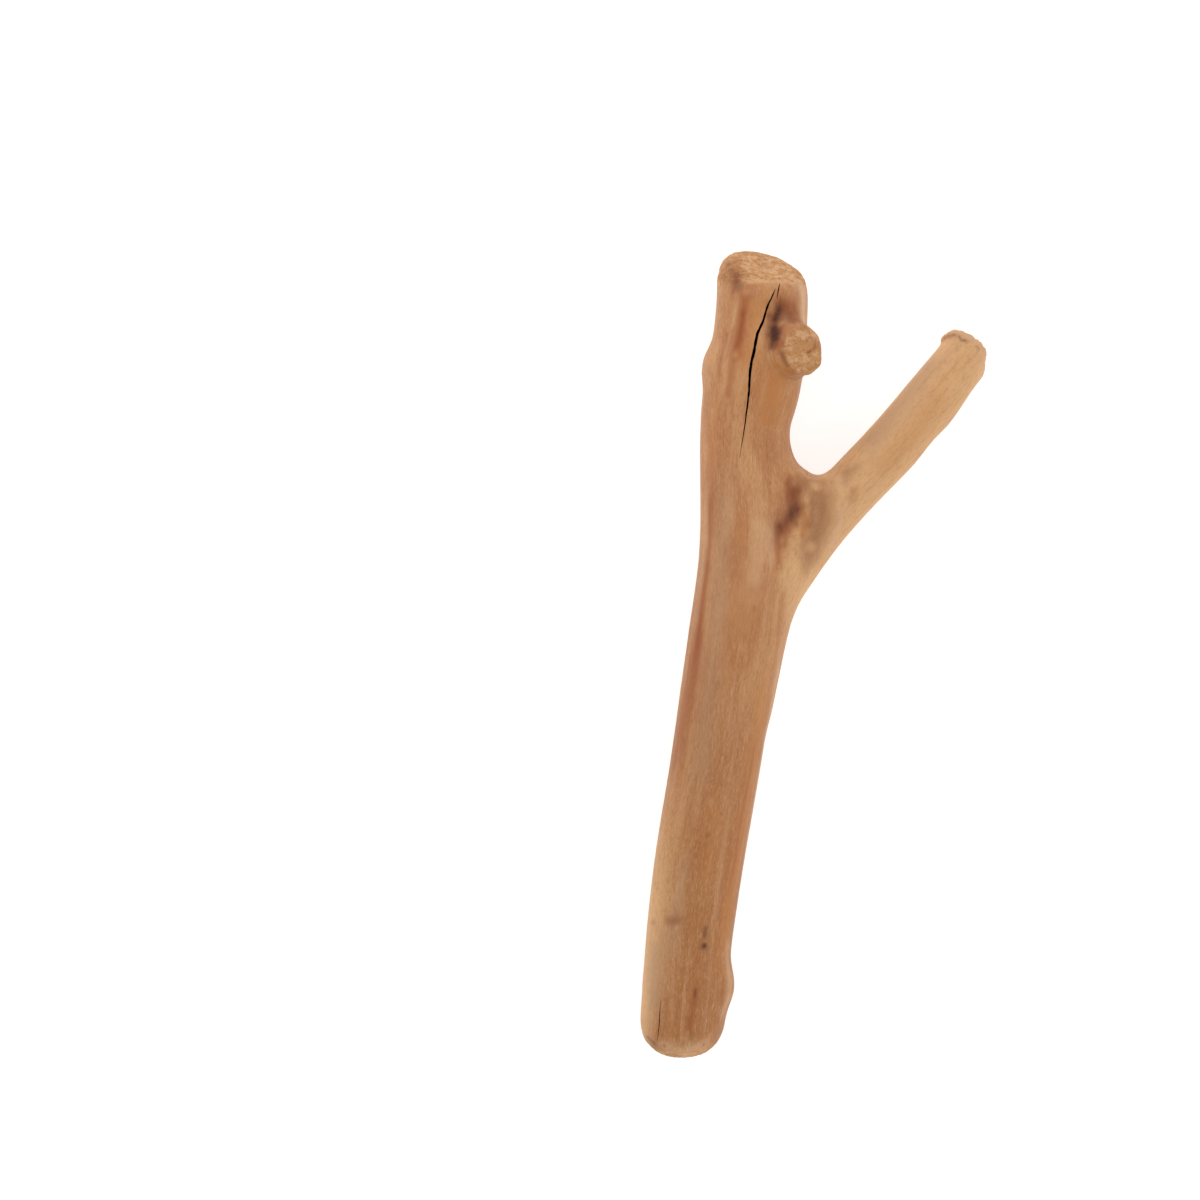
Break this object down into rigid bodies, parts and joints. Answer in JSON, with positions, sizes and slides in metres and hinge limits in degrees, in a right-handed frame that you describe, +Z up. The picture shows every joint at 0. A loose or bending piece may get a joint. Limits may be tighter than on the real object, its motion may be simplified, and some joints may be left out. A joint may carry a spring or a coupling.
{
  "type": "piece of driftwood",
  "caption": "Forked piece of sea-worn driftwood lying flat: a bowed trunk with a slanted sawn end, a side branch, a sawn twig stub and a drying crack.",
  "frame": {"origin": "bottom centre of the bounding box, on the surface that the wood lies on", "axes": "+Y along the trunk, from its worn foot to its slanted sawn end; +Z up from the surface it lies on, out of the plane of the fork; +X to the side that the branch leaves on"},
  "size_m": [0.1038, 0.2422, 0.0307],
  "materials": {
    "wood": "matte, sun-bleached and sea-worn bare wood"
  },
  "bodies": {
    "root": {"driftwood": "wood"}
  },
  "joints": []
}
